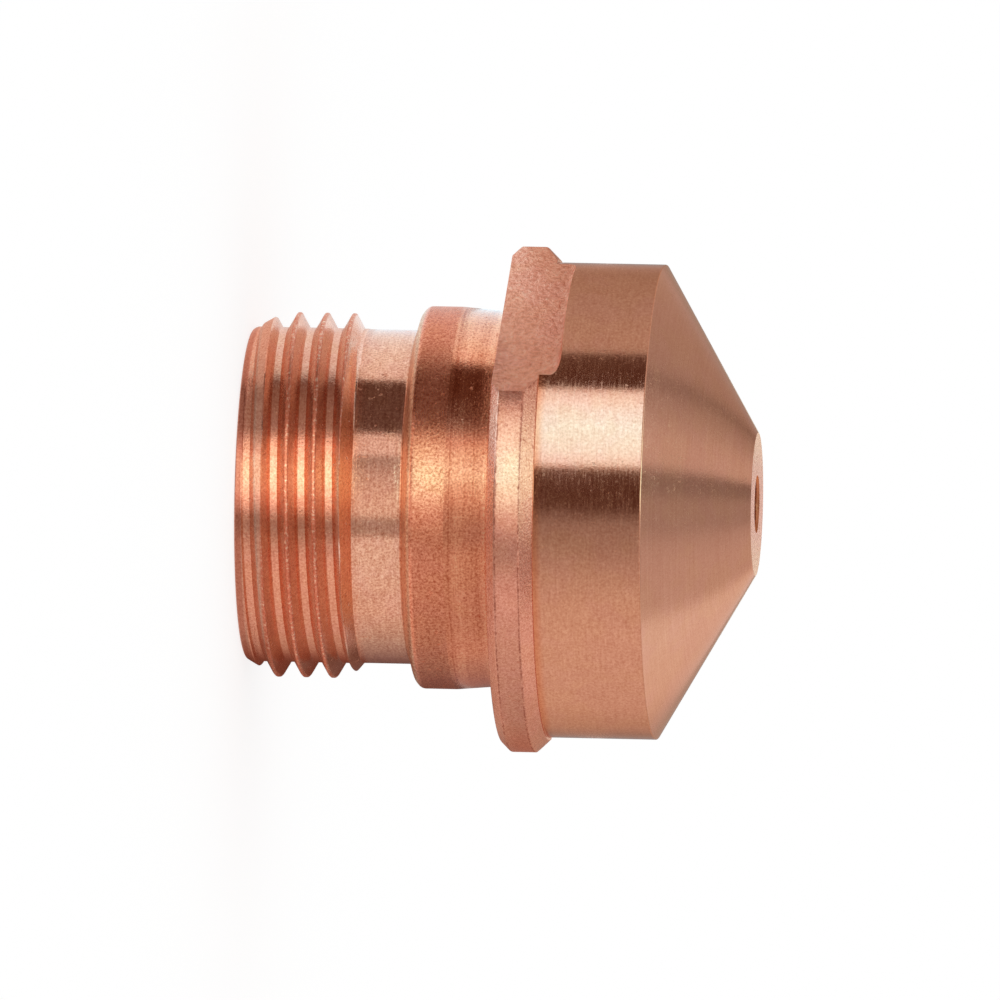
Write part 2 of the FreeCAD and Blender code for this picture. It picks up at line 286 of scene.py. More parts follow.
def copper_finish(
    name, colour, roughness, ring=4.0, ring_fine=9.0, ring_turn=1.6, stripe=0.1, grain=8.0, grain_size=8.0,
    fleck=0.4, mottle=0.1, streaks=0.0, specks=0.08, scratches=0.06, pits=0.25, rear=None, crest_from=None,
    burr_shadows=False, foot=False, bands=(), grazing=GRAZING
):
    """Bare copper, bright or dull.

    ring and grain are the depths of its turning marks and of its grain, in micrometres, and ring_fine,
    ring_turn and grain_size say how close they lie. stripe, fleck and mottle say how much the marks, the
    grain and broad clouds change its colour. streaks, specks, scratches and pits are how dull its turning
    marks, scattered dull spots, fine scratches along the cut and small pits are. rear is what the colour of
    faces towards the rear is multiplied by, a painted paler reflection on them, and crest_from holds the
    radii where the thread's worn crests begin and are whole. burr_shadows puts broken dark lines along the
    flange's edges and beside the flats, painted shadows of burred edges, and foot puts painted shade and a
    painted reflection of the chamfer at the foot of the body. bands holds the height, half width and
    brightness of broad turned rings. grazing is its tint where it is seen aslant.
    """
    material = bpy.data.materials.new(name)
    material.use_nodes = True
    tree = material.node_tree
    shader = tree.nodes["Principled BSDF"]
    shader.inputs["Metallic"].default_value = 1.0
    shader.inputs["Specular Tint"].default_value = grazing
    place = add_node(tree, "ShaderNodeTexCoord").outputs["Object"]
    in_mm = add_node(tree, "ShaderNodeVectorMath", {0: place, "Scale": 1 / MM}, operation="SCALE").outputs[0]
    side, depth, height = add_node(tree, "ShaderNodeSeparateXYZ", {0: in_mm}).outputs
    flat = add_node(tree, "ShaderNodeCombineXYZ", {0: side, 1: depth}).outputs[0]
    out = add_node(tree, "ShaderNodeVectorMath", {0: flat}, operation="LENGTH").outputs["Value"]
    around = add_node(tree, "ShaderNodeVectorMath", {0: flat}, operation="NORMALIZE").outputs[0]
    along_cut = reckon(tree, "SUBTRACT", height, reckon(tree, "MULTIPLY", out, CUT_LEAN))

    def noise_at(spot, size, detail):
        return add_node(
            tree, "ShaderNodeTexNoise",
            {"Vector": spot, "Scale": size, "Detail": detail, "Roughness": NOISE_ROUGHNESS}
        ).outputs["Fac"]

    def patches(size, detail, low, high):
        """One within scattered patches, and nought outside them."""
        return between(tree, noise_at(in_mm, size, detail), low, high)

    def drawn_round(stretch, closeness):
        """A place whose pattern is drawn out round the axis, as marks of turning are."""
        up = reckon(tree, "MULTIPLY", along_cut, closeness)
        up = add_node(tree, "ShaderNodeCombineXYZ", {2: up}).outputs[0]
        slow = add_node(tree, "ShaderNodeVectorMath", {0: around, "Scale": stretch}, operation="SCALE")
        return add_node(tree, "ShaderNodeVectorMath", {0: slow.outputs[0], 1: up}, operation="ADD").outputs[0]

    def toned(shares):
        """The copper's colour with its red, green and blue multiplied by three shares."""
        return tuple(part * share for part, share in zip(colour, shares)) + (1,)

    def coloured(share, usual, other):
        """The first colour, and the other one by as much as the share says."""
        return add_node(
            tree, "ShaderNodeMix", {"Factor": share, 6: usual, 7: other}, data_type="RGBA"
        ).outputs[2]

    rings = noise_at(drawn_round(ring_turn, ring_fine), 1.0, 3.0)
    scratch = between(tree, noise_at(drawn_round(SCRATCH_TURN, SCRATCH_FINE), 1.0, 1.0), *SCRATCH_SHOWS)
    grains = noise_at(in_mm, grain_size, 3.0)
    speck = patches(*SPECK_PATCHES)
    pit = patches(*PIT_PATCHES)
    clouds = noise_at(in_mm, CLOUD_SIZE, CLOUD_DETAIL)

    still = 1 - mottle - fleck - stripe
    shade = reckon(tree, "MULTIPLY_ADD", clouds, 2 * mottle, still)
    shade = reckon(tree, "MULTIPLY_ADD", grains, 2 * fleck, shade)
    shade = reckon(tree, "MULTIPLY_ADD", rings, 2 * stripe, shade)
    shade = reckon(tree, "MULTIPLY_ADD", pit, -PIT_DARK * pits, shade)
    for middle, half_width, brighter in bands:
        from_band = reckon(tree, "ABSOLUTE", reckon(tree, "SUBTRACT", height, middle))
        shade = reckon(tree, "MULTIPLY_ADD", between(tree, from_band, half_width, 0.0), brighter, shade)
    tone = coloured(patches(*DRIFT_PATCHES), toned(ROSY), toned(SANDY))
    rough = reckon(tree, "MULTIPLY_ADD", clouds, CLOUD_DULL, roughness - CLOUD_DULL / 2)
    rough = reckon(tree, "MULTIPLY_ADD", speck, specks, rough)
    rough = reckon(tree, "MULTIPLY_ADD", scratch, scratches, rough)
    rough = reckon(tree, "MULTIPLY_ADD", pit, pits, rough)
    rough = reckon(tree, "MULTIPLY_ADD", rings, 2 * streaks, reckon(tree, "SUBTRACT", rough, streaks))

    # Faces towards the rear: a painted paler reflection in their colour, and a little wear in their roughness
    if rear:
        facing = add_node(tree, "ShaderNodeTexCoord").outputs["Normal"]
        facing = add_node(tree, "ShaderNodeSeparateXYZ", {0: facing}).outputs[2]
        rear_sheen_and_wear = between(tree, facing, *REAR_FACING)
        tone = coloured(rear_sheen_and_wear, tone, toned(rear))
        rough = reckon(tree, "MULTIPLY_ADD", rear_sheen_and_wear, REAR_DULL, rough)
    if crest_from:
        tone = coloured(between(tree, height, *RIM_HEIGHTS), tone, toned(RIM_TONE))
        on_crest = between(tree, out, *crest_from)
        tone = coloured(on_crest, tone, toned(CREST_TONE))
        nick = reckon(tree, "MULTIPLY", on_crest, patches(*NICK_PATCHES))
        tone = coloured(nick, tone, NICK_COLOUR)
        rough = reckon(tree, "MULTIPLY_ADD", on_crest, CREST_DULL, rough)
    # Painted shadows of burred edges: broken dark lines along the flange's edges and beside the flats
    if burr_shadows:
        wavy = reckon(tree, "MULTIPLY_ADD", noise_at(in_mm, WAVE_SIZE, 2.0), BURR_WAVE, -BURR_WAVE / 2)
        from_edge = reckon(tree, "SUBTRACT", height, (LAND_START + LAND_END) / 2)
        from_edge = reckon(tree, "ADD", reckon(tree, "ABSOLUTE", from_edge), wavy)
        from_edge = reckon(tree, "SUBTRACT", from_edge, (LAND_END - LAND_START) / 2 - BURR_INSIDE)
        line = between(tree, reckon(tree, "ABSOLUTE", from_edge), *BURR_WIDTHS)
        line = reckon(tree, "MULTIPLY", line, between(tree, out, *BURR_RADII))
        beside_flat = between(tree, reckon(tree, "ABSOLUTE", depth), *FLAT_BURR)
        line = reckon(tree, "MAXIMUM", line, beside_flat)
        line = reckon(tree, "MULTIPLY", line, patches(*BURR_PATCHES))
        tone = coloured(line, tone, toned(BURR_SHADOW_TONE))
        rough = reckon(tree, "MULTIPLY_ADD", line, BURR_DULL, rough)
    # Painted shade and reflected chamfer at the foot of the body, where it meets the flange
    if foot:
        tone = coloured(between(tree, height, *FOOT_HEIGHTS), tone, toned(FOOT_SHADE_TONE))

    red_shade = reckon(tree, "MULTIPLY_ADD", shade, RED_SWING, 1 - RED_SWING)
    blue_shade = reckon(tree, "MULTIPLY_ADD", shade, BLUE_SWING, 1 - BLUE_SWING)
    grey = add_node(tree, "ShaderNodeCombineColor", {0: red_shade, 1: shade, 2: blue_shade}).outputs[0]
    tint = add_node(
        tree, "ShaderNodeMix", {"Factor": 1.0, 6: tone, 7: grey}, data_type="RGBA", blend_type="MULTIPLY"
    ).outputs[2]
    tree.links.new(tint, shader.inputs["Base Color"])
    tree.links.new(rough, shader.inputs["Roughness"])
    marks = reckon(tree, "MULTIPLY", rings, ring)
    marks = reckon(tree, "ADD", marks, reckon(tree, "MULTIPLY", grains, grain))
    marks = reckon(tree, "MULTIPLY_ADD", pit, -PIT_DEPTH * pits, marks)
    bump = add_node(tree, "ShaderNodeBump", {"Height": marks, "Strength": 1.0, "Distance": MICROMETRE})
    tree.links.new(bump.outputs[0], shader.inputs["Normal"])
    return material


finishes = {
    BORED: copper_finish("bored_copper", (0.68, 0.23, 0.11), 0.32, ring=8, grazing=(0.9, 0.5, 0.35, 1)),
    # The thread's faces towards the rear get a painted paler reflection through rear
    THREADED: copper_finish(
        "threaded_copper", (0.92, 0.48, 0.34), 0.15, grain=12, fleck=0.9, rear=(0.76, 0.97, 1.08),
        crest_from=(9.8, 9.9), grazing=(1, 0.84, 0.77, 1)
    ),
    RELIEVED: copper_finish(
        "relief_copper", (0.83, 0.37, 0.235), 0.14, ring=3, ring_turn=5, grain=6, stripe=0.45, fleck=1.1,
        streaks=0.08, grazing=PALE_GRAZING
    ),
    # Collar and neck colours, deeper red than the body's: partly the copper's own, partly painted flange
    # reflection
    COLLARED: copper_finish(
        "collar_copper", (0.83, 0.265, 0.145), 0.25, grain=24, grain_size=8, fleck=1.5,
        rear=(1.0, 1.85, 2.2), grazing=PALE_GRAZING
    ),
    NECKED: copper_finish(
        "neck_copper", (0.85, 0.28, 0.15), 0.15, ring=5, grain=9, stripe=0.5, fleck=1.3, streaks=0.05,
        bands=((11.82, 0.09, -0.3), (12.3, 0.35, 0.16), (13.2, 0.35, -0.14), (13.74, 0.22, 0.3)),
        grazing=PALE_GRAZING
    ),
    # The flange's broken dark lines are painted shadows of burred edges
    FLANGED: copper_finish("flange_copper", (0.86, 0.345, 0.228), 0.25, grain=20, fleck=0.85, burr_shadows=True),
    # The body's foot carries painted shade and a painted reflection of the chamfer
    TURNED: copper_finish(
        "turned_copper", (0.82, 0.35, 0.21), 0.1, ring=2, ring_turn=9, grain=2, grain_size=7, stripe=0.25,
        fleck=0.55, streaks=0.12, specks=0.07, scratches=0.08, pits=0.08, foot=True
    ),
    FACED: copper_finish(
        "faced_copper", (0.80, 0.375, 0.245), 0.16, ring=4, ring_fine=12, grain=3, stripe=0.2, fleck=0.25,
        pits=0.1
    ),
    TIPPED: copper_finish(
        "tip_copper", (0.9, 0.4, 0.25), 0.12, ring=1, ring_fine=12, grazing=(0.86, 0.55, 0.42, 1)
    ),
    MILLED: copper_finish(
        "milled_copper", (0.95, 0.39, 0.258), 0.4, ring=0, grain=150, grain_size=3.8, fleck=0.7,
        mottle=0.3, stripe=0
    ),
}

# The tree that turns the outline: a sheet of rows is wrapped round the axis, and the thread's rows climb by
# its pitch in each turn. Then the slabs are cut off, and each face gets its finish.

STEPS_AROUND = 300
SEAM_GAP = 1e-7
SHARP_ANGLE = math.radians(24)
tree = bpy.data.node_groups.new("turned_and_threaded", "GeometryNodeTree")
tree.interface.new_socket("Outline", in_out="INPUT", socket_type="NodeSocketGeometry")
tree.interface.new_socket("Nozzle", in_out="OUTPUT", socket_type="NodeSocketGeometry")
sizes = {
    "Steps Around": ("NodeSocketInt", STEPS_AROUND),
    "Pitch": ("NodeSocketFloat", PITCH * MM),
    "Crest Radius": ("NodeSocketFloat", CREST * MM),
    "Root Radius": ("NodeSocketFloat", ROOT * MM),
    "Root Flat": ("NodeSocketFloat", ROOT_FLAT * MM),
    "Root Height": ("NodeSocketFloat", ROOT_HEIGHT * MM),
    "Lead-in Radius": ("NodeSocketFloat", LEAD_IN * MM),
    "Relief Radius": ("NodeSocketFloat", RELIEF * MM),
    "Thread Low": ("NodeSocketFloat", THREAD_LOW * MM),
    "Thread High": ("NodeSocketFloat", THREAD_END * MM),
    "Edge Softness": ("NodeSocketFloat", EDGE_SOFTNESS * MM),
    "Flat Cutter": ("NodeSocketObject", flat_cutter),
}
for name, (kind, _) in sizes.items():
    tree.interface.new_socket(name, in_out="INPUT", socket_type=kind)
given = add_node(tree, "NodeGroupInput").outputs
turned_out = add_node(tree, "NodeGroupOutput")

rows = add_node(tree, "GeometryNodeAttributeDomainSize", {0: given["Outline"]}).outputs["Point Count"]
rows_and_one = reckon(tree, "ADD", rows, 1)
columns = reckon(tree, "ADD", given["Steps Around"], 1)
sheet = add_node(
    tree, "GeometryNodeMeshGrid", {"Vertices X": columns, "Vertices Y": rows_and_one}
).outputs["Mesh"]
index = add_node(tree, "GeometryNodeInputIndex").outputs[0]


def of_row(kind, field, row):
    """What the outline holds at a row."""
    found = add_node(
        tree, "GeometryNodeSampleIndex", {"Geometry": given["Outline"], "Index": row},
        data_type=kind, domain="POINT"
    )
    tree.links.new(field, found.inputs["Value"])
    return found.outputs["Value"]


def stored(name, kind):
    """A named attribute of the mesh."""
    return add_node(tree, "GeometryNodeInputNamedAttribute", {"Name": name}, data_type=kind).outputs[0]


row = reckon(tree, "MODULO", reckon(tree, "MODULO", index, rows_and_one), rows)
column = reckon(tree, "FLOOR", reckon(tree, "DIVIDE", reckon(tree, "ADD", index, 0.5), rows_and_one))
turns = reckon(tree, "DIVIDE", column, given["Steps Around"])
angle = reckon(tree, "MULTIPLY", turns, 2 * math.pi)
position = add_node(tree, "GeometryNodeInputPosition").outputs[0]
drawn = add_node(tree, "ShaderNodeSeparateXYZ", {0: of_row("FLOAT_VECTOR", position, row)}).outputs
on_helix = of_row("FLOAT", stored("helical", "FLOAT"), row)

climb = reckon(tree, "MULTIPLY", turns, given["Pitch"])
raised = reckon(tree, "ADD", drawn[2], climb)
raised = reckon(tree, "MAXIMUM", reckon(tree, "MINIMUM", raised, given["Thread High"]), given["Thread Low"])
from_root = reckon(tree, "SUBTRACT", reckon(tree, "SUBTRACT", raised, given["Root Height"]), climb)
half_pitch = reckon(tree, "MULTIPLY", given["Pitch"], 0.5)
from_root = reckon(tree, "WRAP", from_root, half_pitch, reckon(tree, "MULTIPLY", half_pitch, -1))
from_root = reckon(tree, "ABSOLUTE", from_root)
up_flank = reckon(tree, "SUBTRACT", from_root, reckon(tree, "MULTIPLY", given["Root Flat"], 0.5))
flank = reckon(tree, "MULTIPLY_ADD", up_flank, FLANK_SLOPE, given["Root Radius"])
soft = given["Edge Softness"]
tooth = reckon(tree, "SMOOTH_MAX", flank, given["Root Radius"], soft)
tooth = reckon(tree, "SMOOTH_MIN", tooth, given["Crest Radius"], soft)
lead_in = reckon(tree, "MULTIPLY_ADD", raised, LEAD_IN_SLOPE, given["Lead-in Radius"])
below_end = reckon(tree, "SUBTRACT", given["Thread High"], raised)
run_out = reckon(tree, "MULTIPLY_ADD", below_end, RELIEF_SLOPE, given["Relief Radius"])
tooth = reckon(tree, "SMOOTH_MIN", reckon(tree, "SMOOTH_MIN", tooth, lead_in, soft), run_out, soft)


def blend_of(share, at_zero, at_one):
    """A value between two others."""
    return add_node(
        tree, "ShaderNodeMix", {"Factor": share, 2: at_zero, 3: at_one}, data_type="FLOAT"
    ).outputs[0]


out = blend_of(on_helix, drawn[0], tooth)
up = blend_of(on_helix, drawn[2], raised)
wrapped = add_node(tree, "ShaderNodeCombineXYZ", {
    0: reckon(tree, "MULTIPLY", out, reckon(tree, "COSINE", angle)),
    1: reckon(tree, "MULTIPLY", out, reckon(tree, "SINE", angle)),
    2: up,
}).outputs[0]
face_row = reckon(tree, "MODULO", index, rows)
finished = add_node(tree, "GeometryNodeStoreNamedAttribute", {
    "Geometry": sheet, "Name": "finish", "Value": of_row("INT", stored("finish", "INT"), face_row),
}, data_type="INT", domain="FACE").outputs[0]
turned = add_node(tree, "GeometryNodeSetPosition", {"Geometry": finished, "Position": wrapped}).outputs[0]
closed = add_node(tree, "GeometryNodeMergeByDistance", {"Geometry": turned, "Distance": SEAM_GAP}).outputs[0]
slabs = add_node(tree, "GeometryNodeObjectInfo", {"Object": given["Flat Cutter"]}).outputs["Geometry"]
slabs = add_node(tree, "GeometryNodeStoreNamedAttribute", {
    "Geometry": slabs, "Name": "finish", "Value": MILLED,
}, data_type="INT", domain="FACE").outputs[0]
cut = add_node(
    tree, "GeometryNodeMeshBoolean", {"Mesh 1": closed, "Mesh 2": slabs},
    operation="DIFFERENCE", solver="EXACT"
).outputs["Mesh"]
last = add_node(tree, "GeometryNodeRealizeInstances", {"Geometry": cut}).outputs[0]
finish_now = stored("finish", "INT")
for number, material in finishes.items():
    chosen = add_node(
        tree, "FunctionNodeCompare", {2: finish_now, 3: number}, data_type="INT", operation="EQUAL"
    ).outputs[0]
    last = add_node(
        tree, "GeometryNodeSetMaterial", {"Geometry": last, "Selection": chosen, "Material": material}
    ).outputs[0]
tree.links.new(last, turned_out.inputs[0])

turning = nozzle_work.modifiers.new("turning", "NODES")
turning.node_group = tree
for item in tree.interface.items_tree:
    if item.in_out == "INPUT" and item.name in sizes:
        turning[item.identifier] = sizes[item.name][1]
worked = nozzle_work.evaluated_get(bpy.context.evaluated_depsgraph_get())
nozzle_mesh = bpy.data.meshes.new_from_object(worked)
nozzle_mesh.name = "nozzle_turned"
nozzle_work.modifiers.remove(turning)
bpy.data.objects.remove(nozzle_work)
bpy.data.objects.remove(flat_cutter)

tidied = bmesh.new()
tidied.from_mesh(nozzle_mesh)
bmesh.ops.remove_doubles(tidied, verts=tidied.verts, dist=2 * SEAM_GAP)
bmesh.ops.recalc_face_normals(tidied, faces=tidied.faces)
tidied.to_mesh(nozzle_mesh)
tidied.free()
nozzle_mesh.shade_smooth()
nozzle_mesh.set_sharp_from_angle(angle=SHARP_ANGLE)
nozzle = bpy.data.objects.new("nozzle_turned", nozzle_mesh)
bpy.context.scene.collection.objects.link(nozzle)
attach(nozzle, "root")
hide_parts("nozzle")

# Camera, at the photograph's angle: level with the nozzle, a little towards its nose, and turned on its side,
# so that the nose points to the right

TOWARDS_CAMERA = Vector((0.8425, -0.5388, 0))
PICTURE_UP = Vector((-0.5388, -0.8425, 0))
TILT = math.radians(5.3)
ROLL = math.radians(1.2)
DISTANCE = 2000 * MM
SENSOR_WIDTH = 36
NEAREST_SEEN = 10 * MM
PICTURE_PIXELS = 1000
PIXELS_PER_MM = 18.35
FRAME_WIDTH = PICTURE_PIXELS / PIXELS_PER_MM * MM
AIM_HEIGHT = 13.67
AIM_DROP = 0.065
TARGET = Vector((0, 0, AIM_HEIGHT)) * MM - PICTURE_UP * AIM_DROP * MM

toward = TOWARDS_CAMERA.normalized() * math.cos(TILT) + Vector((0, 0, math.sin(TILT)))
picture_up = PICTURE_UP.normalized()
picture_right = picture_up.cross(toward).normalized()
leaned_right = picture_right * math.cos(ROLL) + picture_up * math.sin(ROLL)
leaned_up = picture_up * math.cos(ROLL) - picture_right * math.sin(ROLL)
camera_data = bpy.data.cameras.new("camera")
camera_data.sensor_width = SENSOR_WIDTH
camera_data.lens = SENSOR_WIDTH * DISTANCE / FRAME_WIDTH
camera_data.clip_start = NEAREST_SEEN
camera = bpy.data.objects.new("camera", camera_data)
bpy.context.scene.collection.objects.link(camera)
turn = [leaned_right, leaned_up, toward]
for row_number in range(3):
    for column_number in range(3):
        camera.matrix_world[row_number][column_number] = turn[column_number][row_number]
camera.matrix_world.translation = TARGET + toward * DISTANCE
bpy.context.scene.camera = camera

# Floor: a plain pale matte sheet, which the nozzle stands on. The camera and the copper see it brighter than
# the room lights it, and it still shows the nozzle's soft shadow.

FLOOR_HALF = 3000 * MM
FLOOR_HEIGHT = -0.02 * MM
FLOOR_GREY = 0.35
FLOOR_ROUGHNESS = 0.9
FLOOR_SEEN = 0.79
FLOOR_MIRRORED = 0.6
floor_corners = [
    (x * FLOOR_HALF, y * FLOOR_HALF, FLOOR_HEIGHT) for x, y in ((-1, -1), (1, -1), (1, 1), (-1, 1))
]
floor_mesh = bpy.data.meshes.new("floor")
floor_mesh.from_pydata(floor_corners, [], [(0, 1, 2, 3)])
floor = bpy.data.objects.new("floor", floor_mesh)
bpy.context.scene.collection.objects.link(floor)
floor_material = bpy.data.materials.new("pale_floor")
floor_material.use_nodes = True
floor_tree = floor_material.node_tree
floor_shader = floor_tree.nodes["Principled BSDF"]
floor_shader.inputs["Base Color"].default_value = (FLOOR_GREY, FLOOR_GREY, FLOOR_GREY, 1)
floor_shader.inputs["Roughness"].default_value = FLOOR_ROUGHNESS
floor_shader.inputs["Specular IOR Level"].default_value = 0.0
floor_shader.inputs["Emission Color"].default_value = (1, 1, 1, 1)
rays = add_node(floor_tree, "ShaderNodeLightPath").outputs
seen = reckon(floor_tree, "MULTIPLY", rays["Is Camera Ray"], FLOOR_SEEN)
seen = reckon(floor_tree, "MULTIPLY_ADD", rays["Is Glossy Ray"], FLOOR_MIRRORED, seen)
floor_tree.links.new(seen, floor_shader.inputs["Emission Strength"])
floor_mesh.materials.append(floor_material)

# Light tent. Pale glowing cloths, a wall, a table and two roofs, stand round the nozzle with brighter and
# darker panels in them, and low fences stand close round its narrower parts. They are seen only in the
# copper: the camera and the floor don't see them.

CAMERA_BEARING = math.degrees(math.atan2(TOWARDS_CAMERA.y, TOWARDS_CAMERA.x))

# Panels of the wall: the place on the body that shows each, in degrees from the camera towards the top of the
# picture, and its brightness. The fences' panels are given in the same way, by places on their own parts.
WALL_PANELS = [
    (-90, 0.3), (-84, 0.38), (-78, 0.43), (-72, 0.55), (-66, 0.61), (-60, 0.68), (-48, 0.71),
    (-36, 0.73), (-26, 0.69), (-19, 0.58), (-12, 0.43), (-6, 0.34), (-3.5, 0.2), (-1.5, 0.08),
    (2, 0.06), (6, 0.1), (7.6, 0.2), (8.8, 1.7), (12, 2.05), (18, 2.3), (23, 2.0), (26.5, 1.5),
    (27.5, 1.2), (28.3, 0.05), (33, 0.06), (37.4, 0.1), (38.8, 0.5), (42, 0.53), (54, 0.47), (72, 0.42),
    (80, 0.5), (90, 0.36),
]
# The wall's top is dim, but for a bright panel right behind the nozzle
HIGH_PANELS = [
    (-90, 1.3), (-89.4, 1.3), (-89.2, 0.4), (-84, 0.45), (-75, 0.6), (75, 0.5), (84, 0.4), (89.2, 0.4),
    (89.4, 1.3), (90, 1.3),
]
THREAD_PANELS = [
    (-90, 0.05), (-78, 0.12), (-72, 0.22), (-66, 0.35), (-54, 0.48), (-42, 0.53), (-24, 0.57),
    (-17, 0.42), (-12, 0.24), (-8.5, 0.28), (-5, 0.6), (0, 1.2), (6, 1.7), (12, 1.3), (17, 1.0),
    (20, 0.5), (22.5, 0.24), (30, 0.18), (43.5, 0.08), (45.5, 0.6), (54, 0.82), (66, 0.95), (78, 1.0),
    (90, 0.8),
]
# The part of the table right beside the rim, which the lead-in chamfer shows
LEAD_IN_PANELS = [
    (-90, 0.08), (-72, 0.25), (-54, 0.45), (-18, 0.45), (-12, 0.3), (-8, 0.3), (-4, 0.6), (2, 1.0),
    (12, 1.1), (18, 0.6), (24, 0.3), (40, 0.24), (46, 0.45), (66, 0.62), (90, 0.6),
]
RELIEF_PANELS = [
    (-90, 0.08), (-78, 0.2), (-66, 0.43), (-54, 0.64), (-42, 0.82), (-24, 0.94), (-15, 0.94),
    (-13.5, 0.46), (-8, 0.44), (-6.5, 0.86), (0, 0.8), (7, 0.66), (12.5, 0.42), (13.8, 0.46),
    (14.5, 0.9), (21.5, 0.9), (22.5, 0.1), (43.3, 0.07), (44.5, 1.0), (54, 1.15), (66, 1.25),
    (78, 1.25), (90, 1.1),
]
COLLAR_PANELS = [
    (-90, 0.07), (-72, 0.22), (-60, 0.38), (-42, 0.52), (-24, 0.62), (-12, 0.54), (-8, 0.62), (-4, 1.0),
    (0, 1.6), (6, 2.6), (12, 1.8), (17, 1.05), (20, 0.4), (22, 0.16), (40, 0.11), (45, 0.36),
    (50, 0.56), (56, 0.72), (66, 0.8), (78, 0.8), (90, 0.8),
]
NECK_PANELS = [
    (-90, 0.24), (-78, 0.36), (-66, 0.46), (-54, 0.62), (-42, 0.55), (-18, 0.6), (-12, 0.47),
    (-6, 0.52), (-2, 0.68), (2, 0.95), (7, 1.6), (12, 1.25), (17, 0.75), (21, 0.32), (25, 0.1),
    (34, 0.03), (44, 0.04), (46, 1.15), (54, 1.35), (66, 1.45), (78, 1.5), (90, 1.4),
]
LAND_PANELS = [
    (-90, 0.4), (-72, 0.45), (-54, 0.5), (-42, 0.6), (-30, 0.66), (-24, 0.77), (-18, 0.67), (-13, 0.42),
    (-9, 0.5), (-5, 0.85), (0, 1.7), (6, 2.5), (12, 1.9), (18, 1.45), (21, 0.85), (23.5, 0.2),
    (26.5, 0.3), (29, 0.62), (48, 0.6), (90, 0.57),
]
# Panels of the roof: how far each is from the nozzle's axis towards the top of the picture, in millimetres,
# and its brightness. The cone shows the half behind the nozzle, and the flange's chamfer the half in front.
ROOF_PANELS = [
    (-600, 0.5), (-31, 0.5), (-26.5, 0.68), (-24, 0.86), (-16, 0.96), (-14.2, 0.96), (-12.8, 0.62),
    (-8, 0.61), (-5, 0.54), (-3, 0.41), (0, 0.42), (1.4, 0.3), (3.4, 0.23), (4.2, 0.66), (7.5, 0.62),
    (10, 0.5), (12.5, 0.41), (14.2, 0.24), (15.5, 0.44), (18, 0.46), (25, 0.5), (29, 0.57), (600, 0.5),
]
FRONT_PANELS = [
    (-600, 0.55), (-42, 0.58), (-32, 0.78), (-25.6, 0.9), (-21.8, 0.84), (-17.7, 0.7), (-13.5, 0.44),
    (-9, 0.27), (-6, 0.5), (-3, 1.1), (1, 1.75), (4.6, 2.3), (9, 1.95), (13.5, 1.55), (16, 0.9),
    (18, 0.46), (24, 0.6), (600, 0.6),
]


def brightness_at(panels, place):
    """The brightness at a place between two panels' values, and the end ones beyond them."""
    place = max(place, panels[0][0])
    for (low, dim), (high, bright) in zip(panels, panels[1:]):
        if low <= place <= high:
            return dim + (bright - dim) * (place - low) / (high - low)
    return panels[-1][1]


BRIGHT_FROM = 0.8
BRIGHT_LESS_RED = 0.6
DARK_BELOW = 0.3
DARK_MORE_RED = 0.05
DARK_LESS_BLUE = 0.015


def cloth_colour(value, most_red, bluer):
    """A brightness as a colour: bright panels are a little cooler, and dark ones a little warmer."""
    beyond = max(0.0, value - BRIGHT_FROM)
    dark = max(0.0, 1 - value / DARK_BELOW)
    red = min(most_red, value - BRIGHT_LESS_RED * beyond + DARK_MORE_RED * dark)
    return red, value, value + bluer * beyond - DARK_LESS_BLUE * dark


cloth_material = bpy.data.materials.new("tent_cloth")
cloth_material.use_nodes = True
cloth_tree = cloth_material.node_tree
cloth_tree.nodes.remove(cloth_tree.nodes["Principled BSDF"])
glow_there = add_node(cloth_tree, "ShaderNodeAttribute", attribute_name="glow").outputs["Color"]
glowing = add_node(cloth_tree, "ShaderNodeEmission", {"Color": glow_there, "Strength": 1.0}).outputs[0]
cloth_tree.links.new(glowing, cloth_tree.nodes["Material Output"].inputs["Surface"])


def hang_cloth(name, points, faces, colours):
    """A glowing cloth of the tent, which only reflections see."""
    mesh = bpy.data.meshes.new(name)
    mesh.from_pydata([(x * MM, y * MM, z * MM) for x, y, z in points], [], faces)
    glow = mesh.attributes.new("glow", "FLOAT_COLOR", "POINT")
    glow.data.foreach_set("color", [part for colour in colours for part in (*colour, 1.0)])
    cloth = bpy.data.objects.new(name, mesh)
    bpy.context.scene.collection.objects.link(cloth)
    mesh.materials.append(cloth_material)
    cloth.visible_camera = cloth.visible_diffuse = cloth.visible_shadow = False


# Edges of the cloths, each as a radius and a height in millimetres
WALL_RADIUS = 195.0
WALL_FOOT = (WALL_RADIUS, 2.1)
WALL_MIDDLE = (WALL_RADIUS, 22.0)
WALL_TOP = (WALL_RADIUS, 60.0)
FENCE_RADIUS = 13.5
TABLE_HEIGHT = -0.01
TABLE_START = (LEAD_IN, TABLE_HEIGHT)
TABLE_INNER = (FENCE_RADIUS, TABLE_HEIGHT)
TABLE_RIM = (215.0, TABLE_HEIGHT)
THREAD_TOP = (FENCE_RADIUS, 5.85)
RELIEF_TOP = (FENCE_RADIUS, 8.75)
COLLAR_TOP = (FENCE_RADIUS, 11.5)
FLANGE_FENCE_RADIUS = 16.0
NECK_FOOT = (FLANGE_FENCE_RADIUS, 11.5)
NECK_TOP = (FLANGE_FENCE_RADIUS, 14.3)
LAND_TOP = (FLANGE_FENCE_RADIUS, 16.15)
NECK_MIDDLE = 10.3

